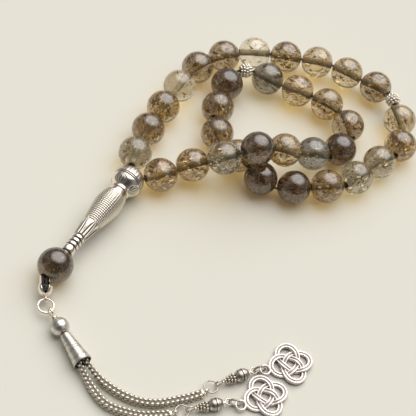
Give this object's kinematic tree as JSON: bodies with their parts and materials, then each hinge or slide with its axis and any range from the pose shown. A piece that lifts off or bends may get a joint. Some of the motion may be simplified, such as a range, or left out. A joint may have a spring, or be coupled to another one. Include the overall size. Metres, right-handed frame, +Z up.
{
  "type": "misbaha prayer beads",
  "caption": "Misbaha: round translucent stone beads on one cord, a silver terminal bead with a tail bead, and a silver tassel of two woven chains with knot charms.",
  "frame": {"origin": "centre of the bounding box on the surface that the strand lies on", "axes": "+Z up from that surface, +Y along the longer side from the charms to the far end of the loop"},
  "size_m": [0.099, 0.14, 0.0191],
  "materials": {
    "charm_silver": "bright matte cast silver",
    "cord_thread": "waxed twisted thread",
    "polished_silver": "polished silver",
    "satin_silver": "satin silver with hairlines and dark recesses",
    "stone_golden": "polished, translucent honey quartz with golden flecks",
    "stone_pale": "polished, nearly clear quartz with pale inclusions",
    "stone_smoky": "polished, translucent smoky brown quartz"
  },
  "bodies": {
    "strand": {"cord": "cord_thread", "cord_knot": "cord_thread", "imame_head": "polished_silver", "knot_cover": "polished_silver"},
    "imame_body": {"imame_body": "polished_silver"},
    "tail_bead": {"tail_bead": "stone_smoky"},
    "bead_01": {"bead_01": "stone_pale"},
    "bead_02": {"bead_02": "stone_smoky"},
    "bead_03": {"bead_03": "stone_golden"},
    "bead_04": {"bead_04": "stone_pale"},
    "bead_05": {"bead_05": "stone_smoky"},
    "bead_06": {"bead_06": "stone_smoky"},
    "bead_07": {"bead_07": "stone_pale"},
    "bead_08": {"bead_08": "stone_golden"},
    "bead_09": {"bead_09": "stone_golden"},
    "bead_10": {"bead_10": "stone_smoky"},
    "bead_11": {"bead_11": "stone_smoky"},
    "bead_12": {"bead_12": "stone_pale"},
    "bead_13": {"bead_13": "stone_golden"},
    "bead_14": {"bead_14": "stone_pale"},
    "bead_15": {"bead_15": "stone_pale"},
    "bead_16": {"bead_16": "stone_golden"},
    "bead_17": {"bead_17": "stone_golden"},
    "bead_18": {"bead_18": "stone_smoky"},
    "bead_19": {"bead_19": "stone_smoky"},
    "bead_20": {"bead_20": "stone_smoky"},
    "bead_21": {"bead_21": "stone_smoky"},
    "bead_22": {"bead_22": "stone_golden"},
    "bead_23": {"bead_23": "stone_smoky"},
    "bead_24": {"bead_24": "stone_golden"},
    "bead_25": {"bead_25": "stone_golden"},
    "bead_26": {"bead_26": "stone_smoky"},
    "bead_27": {"bead_27": "stone_smoky"},
    "bead_28": {"bead_28": "stone_golden"},
    "bead_29": {"bead_29": "stone_smoky"},
    "bead_30": {"bead_30": "stone_smoky"},
    "bead_31": {"bead_31": "stone_smoky"},
    "bead_32": {"bead_32": "stone_smoky"},
    "bead_33": {"bead_33": "stone_smoky"},
    "divider_1": {"divider_1": "satin_silver"},
    "divider_2": {"divider_2": "satin_silver"},
    "jump_ring": {"jump_ring": "polished_silver"},
    "tassel": {"tassel_eye": "polished_silver", "tassel_ball": "satin_silver", "tassel_sleeve": "satin_silver", "chain_a": "satin_silver", "chain_b": "satin_silver"},
    "chain_ring_a": {"chain_ring_a": "polished_silver"},
    "connector_a": {"connector_pin_a": "polished_silver"},
    "connector_cap_a": {"connector_cap_a": "satin_silver"},
    "connector_bead_a": {"connector_bead_a": "polished_silver"},
    "charm_ring_a": {"charm_ring_a": "polished_silver"},
    "charm_a": {"charm_a": "charm_silver"},
    "chain_ring_b": {"chain_ring_b": "polished_silver"},
    "connector_b": {"connector_pin_b": "polished_silver"},
    "connector_cap_b": {"connector_cap_b": "satin_silver"},
    "connector_bead_b": {"connector_bead_b": "polished_silver"},
    "charm_ring_b": {"charm_ring_b": "polished_silver"},
    "charm_b": {"charm_b": "charm_silver"}
  },
  "joints": [
    {"name": "imame_body_turn", "type": "hinge", "parent": "strand", "child": "imame_body", "pos_m": [-0.03369, -0.00276, 0.005], "axis": [-0.3469, -0.9379, 0], "continuous": true},
    {"name": "tail_bead_turn", "type": "hinge", "parent": "strand", "child": "tail_bead", "pos_m": [-0.04469, -0.03251, 0.005], "axis": [-0.3469, -0.9379, 0], "continuous": true},
    {"name": "bead_01_turn", "type": "hinge", "parent": "strand", "child": "bead_01", "pos_m": [-0.03246, 0.01213, 0.005], "axis": [0.015, 0.9999, 0.0001], "continuous": true},
    {"name": "bead_02_turn", "type": "hinge", "parent": "strand", "child": "bead_02", "pos_m": [-0.03076, 0.0221, 0.005], "axis": [0.2604, 0.9655, -0.0003], "continuous": true},
    {"name": "bead_03_turn", "type": "hinge", "parent": "strand", "child": "bead_03", "pos_m": [-0.02831, 0.03192, 0.005], "axis": [0.2706, 0.9627, 0.0008], "continuous": true},
    {"name": "bead_04_turn", "type": "hinge", "parent": "strand", "child": "bead_04", "pos_m": [-0.02528, 0.04158, 0.005], "axis": [0.2821, 0.9594, -0.0018], "continuous": true},
    {"name": "bead_05_turn", "type": "hinge", "parent": "strand", "child": "bead_05", "pos_m": [-0.0214, 0.05093, 0.005], "axis": [0.5321, 0.8467, 0.0038], "continuous": true},
    {"name": "bead_06_turn", "type": "hinge", "parent": "strand", "child": "bead_06", "pos_m": [-0.01431, 0.05814, 0.005], "axis": [0.8072, 0.5903, -0.0077], "continuous": true},
    {"name": "bead_07_turn", "type": "hinge", "parent": "strand", "child": "bead_07", "pos_m": [-0.00526, 0.06268, 0.005], "axis": [0.9701, 0.2423, 0.0152], "continuous": true},
    {"name": "bead_08_turn", "type": "hinge", "parent": "strand", "child": "bead_08", "pos_m": [0.00474, 0.0642, 0.005], "axis": [0.9917, 0.1253, -0.0274], "continuous": true},
    {"name": "bead_09_turn", "type": "hinge", "parent": "strand", "child": "bead_09", "pos_m": [0.01481, 0.0652, 0.005], "axis": [0.9989, 0.0027, 0.0468], "continuous": true},
    {"name": "bead_10_turn", "type": "hinge", "parent": "strand", "child": "bead_10", "pos_m": [0.02482, 0.0637, 0.005], "axis": [0.9694, -0.2334, -0.076], "continuous": true},
    {"name": "bead_11_turn", "type": "hinge", "parent": "strand", "child": "bead_11", "pos_m": [0.03447, 0.06063, 0.00501], "axis": [0.8965, -0.4251, 0.1249], "continuous": true},
    {"name": "bead_12_turn", "type": "hinge", "parent": "strand", "child": "bead_12", "pos_m": [0.04346, 0.04926, 0.005], "axis": [0.4166, -0.9023, -0.1108], "continuous": true},
    {"name": "bead_13_turn", "type": "hinge", "parent": "strand", "child": "bead_13", "pos_m": [0.04472, 0.03922, 0.005], "axis": [-0.2757, -0.959, 0.0657], "continuous": true},
    {"name": "bead_14_turn", "type": "hinge", "parent": "strand", "child": "bead_14", "pos_m": [0.03909, 0.03081, 0.005], "axis": [-0.693, -0.7199, -0.038], "continuous": true},
    {"name": "bead_15_turn", "type": "hinge", "parent": "strand", "child": "bead_15", "pos_m": [0.03294, 0.02278, 0.005], "axis": [-0.5902, -0.807, 0.02], "continuous": true},
    {"name": "bead_16_turn", "type": "hinge", "parent": "strand", "child": "bead_16", "pos_m": [0.02475, 0.01684, 0.005], "axis": [-0.9377, -0.3473, -0.0072], "continuous": true},
    {"name": "bead_17_turn", "type": "hinge", "parent": "strand", "child": "bead_17", "pos_m": [0.01518, 0.01353, 0.005], "axis": [-0.9497, -0.3132, -0.004], "continuous": true},
    {"name": "bead_18_turn", "type": "hinge", "parent": "strand", "child": "bead_18", "pos_m": [0.00507, 0.01393, 0.005], "axis": [-0.8741, 0.4854, 0.0174], "continuous": true},
    {"name": "bead_19_turn", "type": "hinge", "parent": "strand", "child": "bead_19", "pos_m": [-0.0029, 0.02016, 0.005], "axis": [-0.8085, 0.5873, -0.0367], "continuous": true},
    {"name": "bead_20_turn", "type": "hinge", "parent": "strand", "child": "bead_20", "pos_m": [-0.01057, 0.02677, 0.005], "axis": [-0.5332, 0.8433, 0.0668], "continuous": true},
    {"name": "bead_21_turn", "type": "hinge", "parent": "strand", "child": "bead_21", "pos_m": [-0.0123, 0.03674, 0.005], "axis": [0.0273, 0.9936, -0.1098], "continuous": true},
    {"name": "bead_22_turn", "type": "hinge", "parent": "strand", "child": "bead_22", "pos_m": [-0.01126, 0.0468, 0.00519], "axis": [0.3278, 0.915, 0.235], "continuous": true},
    {"name": "bead_23_turn", "type": "hinge", "parent": "strand", "child": "bead_23", "pos_m": [0.00061, 0.05321, 0.00502], "axis": [0.9696, -0.0755, -0.2326], "continuous": true},
    {"name": "bead_24_turn", "type": "hinge", "parent": "strand", "child": "bead_24", "pos_m": [0.01054, 0.05125, 0.005], "axis": [0.9616, -0.2451, 0.1233], "continuous": true},
    {"name": "bead_25_turn", "type": "hinge", "parent": "strand", "child": "bead_25", "pos_m": [0.02033, 0.04868, 0.005], "axis": [0.9493, -0.3109, -0.0459], "continuous": true},
    {"name": "bead_26_turn", "type": "hinge", "parent": "strand", "child": "bead_26", "pos_m": [0.0279, 0.04196, 0.005], "axis": [0.3681, -0.9297, -0.0144], "continuous": true},
    {"name": "bead_27_turn", "type": "hinge", "parent": "strand", "child": "bead_27", "pos_m": [0.02667, 0.03191, 0.00503], "axis": [-0.5605, -0.8235, 0.0875], "continuous": true},
    {"name": "bead_28_turn", "type": "hinge", "parent": "strand", "child": "bead_28", "pos_m": [0.01866, 0.02607, 0.00705], "axis": [-0.9116, -0.3441, 0.2247], "continuous": true},
    {"name": "bead_29_turn", "type": "hinge", "parent": "strand", "child": "bead_29", "pos_m": [0.01003, 0.022, 0.01042], "axis": [-0.7577, -0.4184, 0.5009], "continuous": true},
    {"name": "bead_30_turn", "type": "hinge", "parent": "strand", "child": "bead_30", "pos_m": [0.00204, 0.01702, 0.01415], "axis": [-0.8065, -0.58, 0.1148], "continuous": true},
    {"name": "bead_31_turn", "type": "hinge", "parent": "strand", "child": "bead_31", "pos_m": [-0.0068, 0.01312, 0.01114], "axis": [-0.7789, -0.0255, -0.6266], "continuous": true},
    {"name": "bead_32_turn", "type": "hinge", "parent": "strand", "child": "bead_32", "pos_m": [-0.01532, 0.0121, 0.00577], "axis": [-0.8734, -0.3665, -0.3208], "continuous": true},
    {"name": "bead_33_turn", "type": "hinge", "parent": "strand", "child": "bead_33", "pos_m": [-0.0236, 0.00633, 0.005], "axis": [-0.8085, -0.5863, 0.0506], "continuous": true},
    {"name": "divider_1_turn", "type": "hinge", "parent": "strand", "child": "divider_1", "pos_m": [0.04034, 0.05604, 0.00597], "axis": [0.4682, -0.8835, -0.0139], "continuous": true},
    {"name": "divider_2_turn", "type": "hinge", "parent": "strand", "child": "divider_2", "pos_m": [-0.00661, 0.05243, 0.00698], "axis": [0.9225, 0.3848, -0.0301], "continuous": true},
    {"name": "jump_ring_swing", "type": "hinge", "parent": "strand", "child": "jump_ring", "pos_m": [-0.04478, -0.042, 0.00225], "axis": [0, 0, 1], "range_deg": [-20, 10]},
    {"name": "tassel_swing", "type": "hinge", "parent": "jump_ring", "child": "tassel", "pos_m": [-0.04262, -0.04559, 0.00225], "axis": [0, 0, 1], "range_deg": [-25, 10]},
    {"name": "chain_ring_a_swing", "type": "hinge", "parent": "tassel", "child": "chain_ring_a", "pos_m": [0.00315, -0.05731, 0.0015], "axis": [0, 0, 1], "range_deg": [0, 25]},
    {"name": "connector_a_swing", "type": "hinge", "parent": "chain_ring_a", "child": "connector_a", "pos_m": [0.00543, -0.05464, 0.0015], "axis": [0, 0, 1], "range_deg": [0, 35]},
    {"name": "connector_cap_a_turn", "type": "hinge", "parent": "connector_a", "child": "connector_cap_a", "pos_m": [0.00701, -0.05345, 0.0018], "axis": [0.7986, 0.6018, 0], "continuous": true},
    {"name": "connector_bead_a_turn", "type": "hinge", "parent": "connector_a", "child": "connector_bead_a", "pos_m": [0.00968, -0.05144, 0.0018], "axis": [0.7986, 0.6018, 0], "continuous": true},
    {"name": "charm_ring_a_swing", "type": "hinge", "parent": "connector_a", "child": "charm_ring_a", "pos_m": [0.01429, -0.04796, 0.0018], "axis": [0, 0, 1], "range_deg": [0, 30]},
    {"name": "charm_a_swing", "type": "hinge", "parent": "charm_ring_a", "child": "charm_a", "pos_m": [0.01704, -0.04674, 0.0019], "axis": [0, 0, 1], "range_deg": [0, 35]},
    {"name": "chain_ring_b_swing", "type": "hinge", "parent": "tassel", "child": "chain_ring_b", "pos_m": [-0.00364, -0.0656, 0.0015], "axis": [0, 0, 1], "range_deg": [-25, 0]},
    {"name": "connector_b_swing", "type": "hinge", "parent": "chain_ring_b", "child": "connector_b", "pos_m": [-0.00043, -0.06396, 0.0015], "axis": [0, 0, 1], "range_deg": [-35, 0]},
    {"name": "connector_cap_b_turn", "type": "hinge", "parent": "connector_b", "child": "connector_cap_b", "pos_m": [0.00133, -0.06307, 0.0018], "axis": [0.891, 0.454, 0], "continuous": true},
    {"name": "connector_bead_b_turn", "type": "hinge", "parent": "connector_b", "child": "connector_bead_b", "pos_m": [0.00431, -0.06155, 0.0018], "axis": [0.891, 0.454, 0], "continuous": true},
    {"name": "charm_ring_b_swing", "type": "hinge", "parent": "connector_b", "child": "charm_ring_b", "pos_m": [0.00945, -0.05892, 0.0018], "axis": [0, 0, 1], "range_deg": [-30, 0]},
    {"name": "charm_b_swing", "type": "hinge", "parent": "charm_ring_b", "child": "charm_b", "pos_m": [0.01246, -0.05892, 0.0019], "axis": [0, 0, 1], "range_deg": [-35, 0]}
  ]
}
